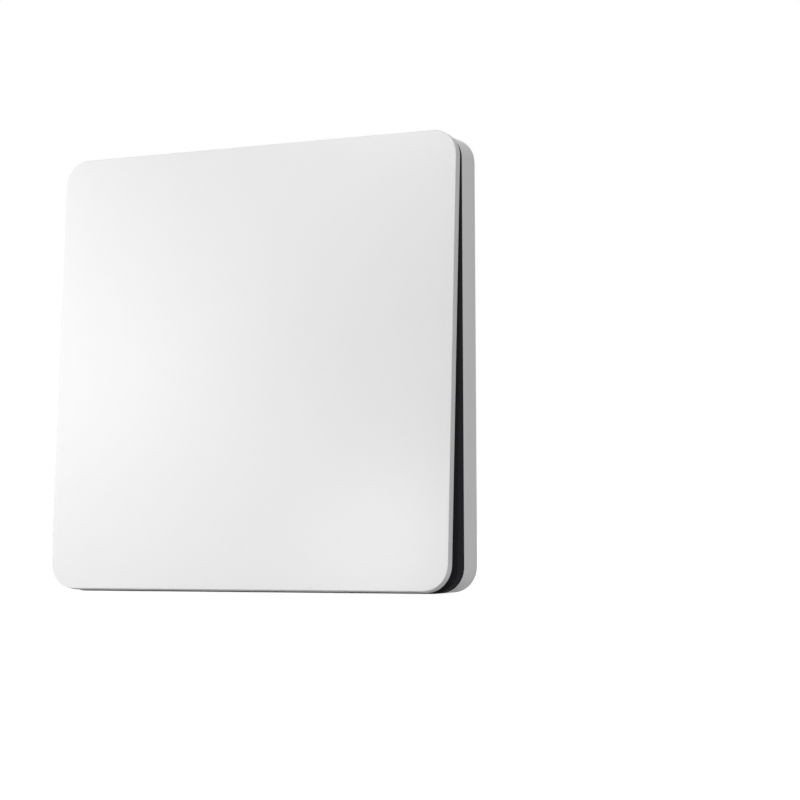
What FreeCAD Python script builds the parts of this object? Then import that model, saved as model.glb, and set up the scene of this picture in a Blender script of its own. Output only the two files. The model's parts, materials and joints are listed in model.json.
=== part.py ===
import FreeCAD, Part
import math
import os
import re

import Sketcher
from FreeCAD import Placement, Rotation, Vector

# Wireless wall switch: a tilted rocker panel hinged on a black wedge frame, over a white base that
# holds a hand-powered generator and a radio board.
# X runs to the right, Z up, Y into the wall. The origin is the centre of the back, on the wall.
# A depth is a distance from the wall towards the room, along -Y.

# Driving sizes, in millimetres and degrees
SIZES = {
    # Whole switch
    "panel_size": 86.0,
    "corner_radius": 4.9,
    # Rear base
    "base_depth": 6.45,
    "base_wall": 1.8,
    "base_floor": 1.6,
    "rear_edge_bevel": 0.4,
    "rear_recess": 0.3,
    "rear_land": 4.0,
    "rear_band": 16.0,
    "slot_pitch": 60.0,
    "slot_width": 4.4,
    "slot_length": 8.0,
    "slot_pad_margin": 2.0,
    "slot_pad_height": 1.0,
    # Screws
    "screw_radius": 1.0,
    "screw_head_radius": 1.9,
    "screw_head_height": 1.1,
    "screw_grip": 2.6,
    "small_screw_radius": 0.7,
    "small_head_radius": 1.4,
    "small_head_height": 0.8,
    "small_screw_grip": 1.6,
    "pilot_clearance": 0.05,
    "pilot_spare": 0.3,
    "hole_clearance": 0.15,
    "head_clearance": 0.3,
    # Inner frame
    "frame_top_rise": 0.4,
    "frame_plate": 1.6,
    "lip_clearance": 0.15,
    "lip_wall": 1.6,
    "lip_depth": 1.5,
    "frame_boss_radius": 2.6,
    "frame_boss_drop": 1.65,
    "frame_screw_floor": 1.0,
    "frame_screw_inset": 8.0,
    "frame_screw_lift": 21.0,
    "boss_clearance": 0.5,
    "window_clearance": 0.5,
    "access_margin": 2.6,
    "bumper_width": 4.0,
    "bumper_height": 1.0,
    "bumper_rise": 0.15,
    "bumper_gap": 3.0,
    "bumper_lift": 7.0,
    # Rocker panel and its hinge
    "rocker_tilt": 3.55,
    "press_angle": 1.8,
    "gap_top": 0.57,
    "panel_edge": 1.8,
    "panel_face": 1.5,
    "panel_rim": 2.4,
    "panel_front_radius": 0.15,
    "panel_over_hinge": 6.2,
    "rib_width": 1.4,
    "hinge_drop": 6.0,
    "hinge_inset": 0.85,
    "hinge_bar_radius": 0.9,
    "hinge_clearance": 0.06,
    "clip_wall": 0.95,
    "clip_grip": 0.42,
    "clip_width": 7.0,
    "clip_spacing": 48.0,
    "cheek_width": 1.6,
    "cheek_cover": 0.8,
    "hook_inset": 6.8,
    "hook_spacing": 54.0,
    "hook_width": 6.0,
    "hook_thickness": 1.6,
    "hook_barb": 1.2,
    "hook_barb_depth": 1.2,
    "hook_engagement": 0.8,
    "hook_clearance": 0.12,
    "foot_width": 10.0,
    "foot_radius": 1.2,
    "foot_clearance": 0.12,
    # Generator, measured from the axis of its lever
    "pivot_down": 10.0,
    "pivot_depth": 4.5,
    "pin_radius": 0.6,
    "pin_clearance": 0.04,
    "core_thickness": 1.0,
    "core_leg": 6.0,
    "leg_space": 4.1,
    "side_leg": 2.4,
    "leg_reach": 7.5,
    "yoke_width": 4.0,
    "bobbin_start": 0.6,
    "bobbin_length": 17.4,
    "bobbin_wall": 0.5,
    "bobbin_clearance": 0.1,
    "winding_build": 1.2,
    "flange_thickness": 0.8,
    "flange_over": 0.2,
    "lead_radius": 0.25,
    "lead_spacing": 8.0,
    "lead_bend": 0.8,
    "lead_rise": 0.55,
    # Generator tray
    "tray_floor": 0.8,
    "tray_wall": 1.2,
    "tray_below": 3.0,
    "tray_above": 1.0,
    "tray_clearance": 0.6,
    "ear_radius": 2.0,
    "spring_room": 2.8,
    "tab_length": 5.2,
    "tab_width": 5.0,
    "tab_thickness": 1.0,
    "tab_up": 14.0,
    "tray_boss_depth": 3.6,
    "tray_boss_radius": 2.3,
    # Generator lever
    "arm_gap": 0.5,
    "arm_thickness": 1.2,
    "arm_depth": 3.2,
    "arm_boss_radius": 1.75,
    "magnet_width": 16.0,
    "magnet_height": 3.6,
    "pole_gap": 2.1,
    "pole_thickness": 0.8,
    "pole_overlap": 3.7,
    "pole_side_gap": 0.3,
    "magnet_air_gap": 1.1,
    "bar_height": 3.0,
    "bar_gap": 0.2,
    "leaf_width": 10.0,
    "leaf_thickness": 0.5,
    "leaf_rise": 0.9,
    "leaf_tip": 4.0,
    "tip_reach": 18.0,
    "rivet_radius": 0.45,
    "rivet_head_radius": 0.9,
    "rivet_head_height": 0.35,
    "rivet_spacing": 7.0,
    "spring_radius": 1.15,
    "spring_wire_radius": 0.2,
    "spring_pitch": 0.5,
    "spring_turns": 2,
    "spring_leg": 5.5,
    "rest_length": 2.0,
    "spring_contact": 0.05,
    "peg_size": 1.0,
    # Radio board
    "board_width": 40.0,
    "board_height": 17.0,
    "board_thickness": 1.0,
    "board_gap": 2.0,
    "post_inset": 2.3,
    "post_width": 3.6,
    "peg_radius": 0.8,
    "peg_height": 0.5,
    "chip_width": 3.9,
    "chip_height": 4.9,
    "rectifier_width": 3.8,
    "rectifier_height": 4.6,
    "package_tall": 1.5,
    "package_lift": 0.2,
    "package_leg": 0.8,
    "package_leg_width": 0.5,
    "crystal_width": 2.5,
    "crystal_height": 3.2,
    "crystal_tall": 0.8,
    "capacitor_width": 3.5,
    "capacitor_height": 2.8,
    "capacitor_tall": 1.8,
    # Aerial wire
    "aerial_radius": 0.5,
    "aerial_bend": 4.0,
    "aerial_start": 12.0,
    "aerial_end": 38.0,
    "aerial_drop": 4.5,
    "aerial_clearance": 0.1,
    "aerial_headroom": 0.35,
    "comb_inset": 12.0,
    "comb_pitch": 20.0,
    "comb_width": 2.0,
    "comb_finger": 0.9,
}

doc = FreeCAD.newDocument("wall_switch")
sheet = doc.addObject("Spreadsheet::Sheet", "Sizes")
for row, (alias, size) in enumerate(SIZES.items(), start=1):
    sheet.set(f"A{row}", alias)
    sheet.set(f"B{row}", str(size))
    sheet.setAlias(f"B{row}", alias)
doc.recompute()

TINY = 1e-6
WORD = re.compile(r"[a-z][a-z0-9_]*")


def cells(text):
    """Returns an expression with each size name turned into a reference to its cell."""
    return WORD.sub(lambda word: "Sizes." + word.group() if word.group() in SIZES else word.group(), text)


def number(text):
    """Returns the present value of an expression of size names."""
    return float(sheet.evalExpression(cells(text)))


# Places worked out from the driving sizes
HALF = "(panel_size / 2)"
BASE_INNER = f"({HALF} - base_wall)"
LIP_OUTER = f"({BASE_INNER} - lip_clearance)"
LIP_INNER = f"({LIP_OUTER} - lip_wall)"
HINGE_UP = f"({HALF} - hinge_drop)"
HINGE_DEPTH = "(base_depth - hinge_inset)"
BOSS_DEPTH = "(base_depth - frame_boss_drop)"
FRAME_SLOPE = "(rocker_tilt - press_angle)"
CLIP_BORE = "(hinge_bar_radius + hinge_clearance)"
CLIP_HALF = f"({CLIP_BORE} + clip_wall)"
PANEL_REAR = "((gap_top + hinge_inset + panel_over_hinge * sin(rocker_tilt)) / cos(rocker_tilt))"
PANEL_BACK = f"({PANEL_REAR} + panel_edge - panel_face)"
PANEL_LOW = "(panel_over_hinge - panel_size)"
FOOT_REACH = f"({HINGE_UP} + pivot_down + tip_reach)"
LEVER_TRAVEL = f"(press_angle * {FOOT_REACH} / tip_reach)"
CORE_HALF = "(core_leg / 2 + leg_space + side_leg)"
BOBBIN_END = "(bobbin_start + bobbin_length)"
YOKE_LOW = f"({BOBBIN_END} + bobbin_clearance)"
YOKE_HIGH = f"({YOKE_LOW} + yoke_width)"
YOKE_SCREW_SIDE = f"({CORE_HALF} - small_head_radius - hole_clearance)"
TUBE_HALF_WIDTH = "(core_leg / 2 + bobbin_clearance + bobbin_wall)"
TUBE_HALF_DEPTH = "(core_thickness / 2 + bobbin_clearance + bobbin_wall)"
FLANGE_HALF_WIDTH = f"({TUBE_HALF_WIDTH} + winding_build + flange_over)"
FLANGE_HALF_DEPTH = f"({TUBE_HALF_DEPTH} + winding_build + flange_over)"
ARM_INNER = f"({CORE_HALF} + arm_gap)"
ARM_OUTER = f"({ARM_INNER} + arm_thickness)"
EAR_INNER = f"({ARM_OUTER} + spring_room)"
TRAY_HALF = f"({EAR_INNER} + tray_wall)"
TRAY_HIGH = f"({YOKE_HIGH} + tray_above)"
FLOOR_UNDER_PIVOT = "(base_floor - pivot_depth)"
TRAY_TOP = f"({FLOOR_UNDER_PIVOT} + tray_floor)"
TAB_SIDE = f"({TRAY_HALF} + tab_length / 2)"
POLE_HIGH = "(pole_overlap - leg_reach)"
MAGNET_HIGH = "(-leg_reach - magnet_air_gap)"
MAGNET_LOW = f"({MAGNET_HIGH} - magnet_height)"
BAR_HIGH = f"({MAGNET_LOW} - bar_gap)"
BAR_LOW = f"({BAR_HIGH} - bar_height)"
LEAF_LOW = "(-tip_reach - leaf_tip / 2)"
LEAF_BACK = "(arm_depth / 2)"
TIP_FRONT = f"({LEAF_BACK} + leaf_rise + leaf_thickness)"
RIVET_UP = f"(({BAR_HIGH} + {BAR_LOW}) / 2)"
BOARD_LOW = f"({TRAY_HIGH} - pivot_down + board_gap)"
BOARD_FRONT = "(base_depth - lip_depth - aerial_headroom - 2 * aerial_radius)"
BOARD_BACK = f"({BOARD_FRONT} - board_thickness)"
AERIAL_OFF = f"({BASE_INNER} - aerial_radius - aerial_clearance)"
AERIAL_DEPTH = f"({BOARD_FRONT} + aerial_radius)"
AERIAL_UP = f"({BOARD_LOW} + board_height - aerial_drop)"
SCREW_SIDE = f"({HALF} - frame_screw_inset)"
SCREW_HIGH = f"({AERIAL_UP} - aerial_radius - boss_clearance - frame_boss_radius)"
SCREW_LOW = f"(frame_screw_lift - {HALF})"
BUMPER_SIDE = "((hook_spacing + hook_width + bumper_width) / 2 + bumper_gap)"
BUMPER_UP = f"(bumper_lift - {HALF})"
HOOK_REACH = "(panel_size - panel_over_hinge - hook_inset)"
HOOK_UP = f"({HINGE_UP} - {HOOK_REACH} * cos(rocker_tilt))"


def frame_front(up):
    """Returns the depth of the frame's sloping front at a height: parallel to the pressed panel."""
    return f"(base_depth + frame_top_rise + ({HALF} - ({up})) * tan{FRAME_SLOPE})"


FRAME_LIMIT = f"({frame_front('-' + HALF)} + frame_plate)"
HOOK_CATCH = (f"(({frame_front(HOOK_UP)} - frame_plate - hook_clearance - {HINGE_DEPTH}"
              f" - {HOOK_REACH} * sin(rocker_tilt))"
              f" / (cos(rocker_tilt) + sin(rocker_tilt) * tan{FRAME_SLOPE}))")
FOOT_END = (f"((pivot_depth + {TIP_FRONT} * cos({LEVER_TRAVEL} / 2) + tip_reach * sin({LEVER_TRAVEL} / 2)"
            f" + foot_clearance - {HINGE_DEPTH} - {FOOT_REACH} * sin(rocker_tilt)) / cos(rocker_tilt))")
FOOT_CENTRE = f"({FOOT_END} + foot_radius)"

BODIES = []


def new_body(label, base=None, turn=None):
    """Starts a sub-part, placed at base (expressions for Y and Z) and turned outwards by an angle."""
    body = doc.addObject("PartDesign::Body", label)
    body.Label = label
    if base:
        body.setExpression("Placement.Base.y", cells(base[0]))
        body.setExpression("Placement.Base.z", cells(base[1]))
    if turn:
        body.Placement = Placement(Vector(), Rotation(Vector(-1, 0, 0), number(turn)))
        body.setExpression("Placement.Rotation.Axis.x", "-1")
        body.setExpression("Placement.Rotation.Axis.z", "0")
        body.setExpression("Placement.Rotation.Angle", cells(turn))
    BODIES.append(body)
    return body


RIB_CELLS = 4
COMBS = 3
HEAD_SIDES = 12
SHANK_SIDES = 8
WIRE_SIDES = 6
SPRING_SIDES = 4
HINGE = (f"-{HINGE_DEPTH}", HINGE_UP)
PIVOT = ("-pivot_depth", "-pivot_down")


def origin_item(body, role):
    """Returns one of the body's own planes or axes."""
    return next(feature for feature in body.Origin.OriginFeatures if feature.Role == role)


def sketch_on(body, role, offset="0"):
    """Starts a sketch on one of the body's own planes, moved along the plane's normal."""
    sketch = body.newObject("Sketcher::SketchObject", f"{body.Label}_sketch")
    sketch.AttachmentSupport = [(origin_item(body, role), "")]
    sketch.MapMode = "FlatFace"
    sketch.setExpression("AttachmentOffset.Base.z", cells(offset))
    return sketch


def face_sketch(body, depth):
    """Starts a sketch seen from the room, at a depth. Its pads grow towards the room."""
    return sketch_on(body, "XZ_Plane", depth)


def side_sketch(body, side="0"):
    """Starts a sketch of a side view, at a place along X. Its points are (-depth, height)."""
    return sketch_on(body, "YZ_Plane", side)


def constrain(sketch, rules):
    """Adds constraints, each a list for the sketcher and, where it has a size, an expression."""
    first = sketch.ConstraintCount
    sketch.addConstraint([Sketcher.Constraint(*rule) for rule, _ in rules])
    for index, (_, text) in enumerate(rules, start=first):
        if text:
            sketch.setExpression(f"Constraints[{index}]", cells(text))


def hold(line, point, across, up):
    """Returns the constraints that hold a point at two expressions from the sketch's origin."""
    rules = []
    for kind, axis, text in (("DistanceX", -2, across), ("DistanceY", -1, up)):
        if abs(number(text)) < TINY:
            rules.append((["PointOnObject", line, point, axis], None))
        else:
            rules.append(([kind, -1, 1, line, point, number(text)], text))
    return rules


def polygon(sketch, points):
    """Draws a closed outline through points given as pairs of expressions."""
    spots = [Vector(number(across), number(up), 0) for across, up in points]
    first = sketch.GeometryCount
    rules = []
    for index, spot in enumerate(spots):
        sketch.addGeometry(Part.LineSegment(spot, spots[(index + 1) % len(spots)]))
        rules.append((["Coincident", first + index, 2, first + (index + 1) % len(spots), 1], None))
    for index, (across, up) in enumerate(points):
        rules += hold(first + index, 1, across, up)
    constrain(sketch, rules)


def rectangle(sketch, left, right, low, high):
    """Draws an upright rectangle between four expressions."""
    polygon(sketch, [(left, low), (right, low), (right, high), (left, high)])


def block(sketch, across, up, width, height):
    """Draws an upright rectangle round a middle."""
    rectangle(sketch, f"{across} - {width} / 2", f"{across} + {width} / 2",
              f"{up} - {height} / 2", f"{up} + {height} / 2")


def rounded_rectangle(sketch, left, right, low, high, radius):
    """Draws an upright rectangle with four equal round corners."""
    x0, x1, y0, y1, r = (number(text) for text in (left, right, low, high, radius))
    first = sketch.GeometryCount
    sides = [((x0 + r, y0), (x1 - r, y0)), ((x1, y0 + r), (x1, y1 - r)),
             ((x1 - r, y1), (x0 + r, y1)), ((x0, y1 - r), (x0, y0 + r))]
    centres = [(x1 - r, y0 + r), (x1 - r, y1 - r), (x0 + r, y1 - r), (x0 + r, y0 + r)]
    for start, end in sides:
        sketch.addGeometry(Part.LineSegment(Vector(*start, 0), Vector(*end, 0)))
    for corner, centre in enumerate(centres):
        circle = Part.Circle(Vector(*centre, 0), Vector(0, 0, 1), r)
        start = math.radians(90 * corner - 90)
        sketch.addGeometry(Part.ArcOfCircle(circle, start, start + math.radians(90)))
    rules = [(["Radius", first + 4, r], radius)]
    for side in range(4):
        line, arc, following = first + side, first + 4 + side, first + (side + 1) % 4
        rules.append((["Tangent", line, 2, arc, 1], None))
        rules.append((["Tangent", arc, 2, following, 1], None))
        rules.append((["Vertical" if side % 2 else "Horizontal", line], None))
    for side in range(1, 4):
        rules.append((["Equal", first + 4, first + 4 + side], None))
    for kind, side, text in (("DistanceY", 0, low), ("DistanceX", 1, right),
                             ("DistanceY", 2, high), ("DistanceX", 3, left)):
        rules.append(([kind, -1, 1, first + side, 1, number(text)], text))
    constrain(sketch, rules)


def obround(sketch, left, right, up, radius):
    """Draws a level slot with round ends about two centres."""
    x0, x1, y, r = (number(text) for text in (left, right, up, radius))
    first = sketch.GeometryCount
    lower, right_end, upper, left_end = range(first, first + 4)
    quarter = math.radians(90)
    right_circle = Part.Circle(Vector(x1, y, 0), Vector(0, 0, 1), r)
    left_circle = Part.Circle(Vector(x0, y, 0), Vector(0, 0, 1), r)
    sketch.addGeometry(Part.LineSegment(Vector(x0, y - r, 0), Vector(x1, y - r, 0)))
    sketch.addGeometry(Part.ArcOfCircle(right_circle, -quarter, quarter))
    sketch.addGeometry(Part.LineSegment(Vector(x1, y + r, 0), Vector(x0, y + r, 0)))
    sketch.addGeometry(Part.ArcOfCircle(left_circle, quarter, 3 * quarter))
    rules = [(["Tangent", lower, 2, right_end, 1], None), (["Tangent", right_end, 2, upper, 1], None),
             (["Tangent", upper, 2, left_end, 1], None), (["Tangent", left_end, 2, lower, 1], None),
             (["Horizontal", lower], None), (["Horizontal", upper], None),
             (["Radius", right_end, r], radius), (["DistanceX", -1, 1, left_end, 3, x0], left)]
    constrain(sketch, rules + hold(right_end, 3, right, up))


def circle(sketch, across, up, radius):
    """Draws a circle round a point given as two expressions."""
    centre = Vector(number(across), number(up), 0)
    line = sketch.addGeometry(Part.Circle(centre, Vector(0, 0, 1), number(radius)))
    constrain(sketch, hold(line, 3, across, up) + [(["Radius", line, number(radius)], radius)])


def hole(sketch, across, up, radius):
    """Draws the many-sided hole of a fastener, just outside a circle of the radius."""
    reach = f"({radius}) / cos({180 / SHANK_SIDES})"
    turns = [360 * (corner + 0.5) / SHANK_SIDES for corner in range(SHANK_SIDES)]
    polygon(sketch, [(f"{across} + {reach} * cos({turn})", f"{up} + {reach} * sin({turn})")
                     for turn in turns])


def span(side, inner, outer):
    """Returns the left and right of a stretch on the right-hand (1) or left-hand (-1) side."""
    return (inner, outer) if side > 0 else (f"-({outer})", f"-({inner})")


def pad(body, sketch, length, midplane=False):
    """Raises a sketch by a length, towards the room or to both sides of it."""
    feature = body.newObject("PartDesign::Pad", f"{body.Label}_pad")
    feature.Profile = sketch
    feature.Midplane = midplane
    feature.setExpression("Length", cells(length))
    doc.recompute()
    return feature


def pocket(body, sketch, length=None, reverse=False, midplane=False):
    """Cuts a sketch by a length towards the wall, or right through, and checks that it cut."""
    before = body.Shape.Volume
    feature = body.newObject("PartDesign::Pocket", f"{body.Label}_pocket")
    feature.Profile = sketch
    feature.Reversed = reverse
    feature.Midplane = midplane
    if length:
        feature.setExpression("Length", cells(length))
    else:
        feature.Type = "ThroughAll"
    doc.recompute()
    if not body.Shape.Volume < before - TINY:
        raise RuntimeError(f"a pocket of {body.Label} cut nothing")
    return feature


def soften(body, depth, kind, size):
    """Rounds or bevels every edge that lies flat at a depth of the body's own frame."""
    place = -number(depth)
    solid = body.Tip
    names = []
    for index, edge in enumerate(solid.Shape.Edges, start=1):
        box = edge.BoundBox
        if abs(box.YMin - place) < TINY and abs(box.YMax - place) < TINY:
            names.append(f"Edge{index}")
    feature = body.newObject(f"PartDesign::{kind}", f"{body.Label}_edge")
    feature.Base = (solid, names)
    feature.setExpression("Radius" if kind == "Fillet" else "Size", cells(size))
    doc.recompute()


def mirror(body, features):
    """Repeats features of the right-hand side on the left."""
    feature = body.newObject("PartDesign::Mirrored", f"{body.Label}_mirror")
    feature.Originals = features
    feature.MirrorPlane = (origin_item(body, "YZ_Plane"), [""])
    body.Tip = feature
    doc.recompute()


def grid(body, original, step, count):
    """Repeats a feature in a square grid, to the right and upwards."""
    feature = body.newObject("PartDesign::LinearPattern", f"{body.Label}_grid")
    feature.Originals = [original]
    feature.Direction = (origin_item(body, "X_Axis"), [""])
    feature.Direction2 = (origin_item(body, "Z_Axis"), [""])
    for suffix in ("", "2"):
        setattr(feature, f"Occurrences{suffix}", count)
        feature.setExpression(f"Length{suffix}", cells(f"{count - 1} * ({step})"))
    body.Tip = feature
    doc.recompute()


def slab(label, base, turn, across, up, depth):
    """Makes a plain rectangular piece from three pairs of expressions."""
    body = new_body(label, base, turn)
    sketch = face_sketch(body, depth[0])
    rectangle(sketch, *across, *up)
    pad(body, sketch, f"({depth[1]}) - ({depth[0]})")
    return body


def make_rear_base():
    """The white tray against the wall, with its bosses, posts, screw slots and aerial combs."""
    body = new_body("rear_base")
    outline = face_sketch(body, "0")
    rounded_rectangle(outline, f"-{HALF}", HALF, f"-{HALF}", HALF, "corner_radius")
    pad(body, outline, "base_depth")
    soften(body, "0", "Chamfer", "rear_edge_bevel")

    hollow = face_sketch(body, "base_depth")
    rounded_rectangle(hollow, f"-{BASE_INNER}", BASE_INNER, f"-{BASE_INNER}", BASE_INNER,
                      "corner_radius - base_wall")
    pocket(body, hollow, "base_depth - base_floor")

    edge = f"({HALF} - rear_land)"
    for low, high in (("rear_band / 2", edge), (f"-{edge}", "-rear_band / 2")):
        recess = face_sketch(body, "0")
        rectangle(recess, f"-{edge}", edge, low, high)
        pocket(body, recess, "rear_recess", reverse=True)

    raised = face_sketch(body, "base_floor")
    block(raised, "slot_pitch / 2", "0", "(slot_length + 2 * slot_pad_margin)",
          "(slot_width + 2 * slot_pad_margin)")
    raised_pad = pad(body, raised, "slot_pad_height")
    slot = face_sketch(body, "base_floor + slot_pad_height")
    slot_run = "(slot_length - slot_width)"
    obround(slot, f"(slot_pitch - {slot_run}) / 2", f"(slot_pitch + {slot_run}) / 2", "0", "slot_width / 2")
    slot_cut = pocket(body, slot)
    mirror(body, [raised_pad, slot_cut])

    bosses = face_sketch(body, "base_floor")
    pilots = face_sketch(body, BOSS_DEPTH)
    for side in (-1, 1):
        for up in (SCREW_HIGH, SCREW_LOW):
            circle(bosses, f"{side} * {SCREW_SIDE}", up, "frame_boss_radius")
            hole(pilots, f"{side} * {SCREW_SIDE}", up, "screw_radius + pilot_clearance")
    pad(body, bosses, f"{BOSS_DEPTH} - base_floor")
    pocket(body, pilots, "screw_grip + pilot_spare")

    tray_bosses = face_sketch(body, "base_floor")
    tray_pilots = face_sketch(body, "tray_boss_depth")
    for side in (-1, 1):
        circle(tray_bosses, f"{side} * {TAB_SIDE}", "tab_up - pivot_down", "tray_boss_radius")
        hole(tray_pilots, f"{side} * {TAB_SIDE}", "tab_up - pivot_down",
             "small_screw_radius + pilot_clearance")
    pad(body, tray_bosses, "tray_boss_depth - base_floor")
    pocket(body, tray_pilots, "small_screw_grip + pilot_spare")

    posts = face_sketch(body, "base_floor")
    for across, up in board_corners():
        block(posts, across, up, "post_width", "post_width")
    pad(body, posts, f"{BOARD_BACK} - base_floor")
    pegs = face_sketch(body, BOARD_BACK)
    board_pilots = face_sketch(body, BOARD_BACK)
    for index, (across, up) in enumerate(board_corners()):
        if index % 3:
            circle(pegs, across, up, "peg_radius")
        else:
            hole(board_pilots, across, up, "small_screw_radius + pilot_clearance")
    pad(body, pegs, "board_thickness + peg_height")
    pocket(body, board_pilots, "small_screw_grip + pilot_spare")

    shelves = face_sketch(body, "base_floor")
    fingers = face_sketch(body, "base_floor")
    finger_side = f"({AERIAL_OFF} - aerial_radius - aerial_clearance)"
    for place in comb_places():
        low, high = f"{place} - comb_width / 2", f"{place} + comb_width / 2"
        rectangle(shelves, f"-{BASE_INNER}", f"-{AERIAL_OFF}", low, high)
        rectangle(shelves, low, high, f"-{BASE_INNER}", f"-{AERIAL_OFF}")
        rectangle(fingers, f"-{finger_side}", f"-({finger_side} - comb_finger)", low, high)
        rectangle(fingers, low, high, f"-{finger_side}", f"-({finger_side} - comb_finger)")
    pad(body, shelves, f"{AERIAL_DEPTH} - aerial_radius - base_floor")
    pad(body, fingers, f"{AERIAL_DEPTH} + aerial_radius / 2 - base_floor")


def comb_places():
    """Returns the places along the left and the lower wall where a comb holds the aerial."""
    return [f"(comb_inset + {index} * comb_pitch - {HALF})" for index in range(COMBS)]


def board_corners():
    """Returns the four corner posts of the radio board, the screwed ones first and last."""
    side = "(board_width / 2 - post_inset)"
    low, high = f"({BOARD_LOW} + post_inset)", f"({BOARD_LOW} + board_height - post_inset)"
    return [(f"-{side}", low), (f"-{side}", high), (side, low), (side, high)]


def make_inner_frame():
    """The black wedge: a sloping plate with a lip into the base, windows, hinge bars and sleeves."""
    body = new_body("inner_frame")
    lip = face_sketch(body, "base_depth - lip_depth")
    rounded_rectangle(lip, f"-{LIP_OUTER}", LIP_OUTER, f"-{LIP_OUTER}", LIP_OUTER,
                      "corner_radius - base_wall - lip_clearance")
    pad(body, lip, f"{FRAME_LIMIT} - base_depth + lip_depth")
    outline = face_sketch(body, "base_depth")
    rounded_rectangle(outline, f"-{HALF}", HALF, f"-{HALF}", HALF, "corner_radius")
    pad(body, outline, f"{FRAME_LIMIT} - base_depth")

    front = side_sketch(body)
    polygon(front, [(f"-{frame_front(HALF)}", HALF), (f"-{frame_front('-' + HALF)}", f"-{HALF}"),
                    (f"-2 * {FRAME_LIMIT}", f"-{HALF}"), (f"-2 * {FRAME_LIMIT}", HALF)])
    pocket(body, front, "panel_size * 2", midplane=True)
    under = side_sketch(body)
    polygon(under, [(f"frame_plate - {frame_front(LIP_INNER)}", LIP_INNER),
                    (f"frame_plate - {frame_front('-' + LIP_INNER)}", f"-{LIP_INNER}"),
                    ("-base_floor", f"-{LIP_INNER}"), ("-base_floor", LIP_INNER)])
    pocket(body, under, f"2 * {LIP_INNER}", midplane=True)

    opening = face_sketch(body, FRAME_LIMIT)
    side = f"({TRAY_HALF} + 2 * window_clearance)"
    rectangle(opening, f"-{side}", side, f"{LEAF_LOW} - pivot_down - 3 * window_clearance",
              f"{BOARD_LOW} + 2 * lead_bend + 2 * window_clearance")
    pocket(body, opening)
    clip_room = f"({CLIP_HALF} + window_clearance)"
    access_high = "(slot_width / 2 + access_margin)"
    windows = []
    for middle, half_width, low, high in (
            ("clip_spacing / 2", "(clip_width / 2 + window_clearance)",
             f"{HINGE_UP} - {clip_room}", f"{HINGE_UP} + {clip_room}"),
            ("hook_spacing / 2", "(hook_width / 2 + window_clearance)",
             f"{HOOK_UP} - hook_thickness / 2 - hook_barb + hook_engagement",
             f"{HOOK_UP} + hook_thickness / 2 + hook_barb + 2 * window_clearance"),
            ("slot_pitch / 2", "(slot_length / 2 + access_margin)", f"-{access_high}", access_high)):
        window = face_sketch(body, FRAME_LIMIT)
        rectangle(window, f"{middle} - {half_width}", f"{middle} + {half_width}", low, high)
        windows.append(pocket(body, window))
    mirror(body, windows)

    for up in (SCREW_HIGH, SCREW_LOW):
        sleeves = face_sketch(body, BOSS_DEPTH)
        for hand in (-1, 1):
            circle(sleeves, f"{hand} * {SCREW_SIDE}", up, "frame_boss_radius")
        pad(body, sleeves, f"{frame_front(up)} - frame_plate / 2 - {BOSS_DEPTH}")

    cheek_half = "(hinge_bar_radius + cheek_cover)"
    cheeks = face_sketch(body, f"{HINGE_DEPTH} - {cheek_half}")
    for hand in (-1, 1):
        for end in (-1, 1):
            inner = f"{hand} * clip_spacing / 2 + {end} * (clip_width / 2 + window_clearance)"
            outer = f"{inner} + {end} * cheek_width"
            left, right = (inner, outer) if end > 0 else (outer, inner)
            rectangle(cheeks, left, right, f"{HINGE_UP} - {cheek_half}", f"{HINGE_UP} + {cheek_half}")
    pad(body, cheeks, f"{cheek_half} + hinge_bar_radius / 2")
    for hand in (-1, 1):
        bar = side_sketch(body, f"{hand} * clip_spacing / 2")
        circle(bar, f"-{HINGE_DEPTH}", HINGE_UP, "hinge_bar_radius")
        pad(body, bar, "clip_width + 2 * window_clearance + cheek_width", midplane=True)

    heads = face_sketch(body, FRAME_LIMIT)
    holes = face_sketch(body, FRAME_LIMIT)
    for hand in (-1, 1):
        for up in (SCREW_HIGH, SCREW_LOW):
            hole(heads, f"{hand} * {SCREW_SIDE}", up, "screw_head_radius + head_clearance")
            hole(holes, f"{hand} * {SCREW_SIDE}", up, "screw_radius + hole_clearance")
    pocket(body, heads, f"{FRAME_LIMIT} - {BOSS_DEPTH} - frame_screw_floor")
    pocket(body, holes)
    seats = face_sketch(body, FRAME_LIMIT)
    for hand in (-1, 1):
        block(seats, f"{hand} * {BUMPER_SIDE}", BUMPER_UP, "(bumper_width + 2 * pilot_clearance)",
              "(bumper_width + 2 * pilot_clearance)")
    pocket(body, seats, f"{FRAME_LIMIT} - {frame_front(BUMPER_UP)} - bumper_rise + bumper_height")


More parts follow.
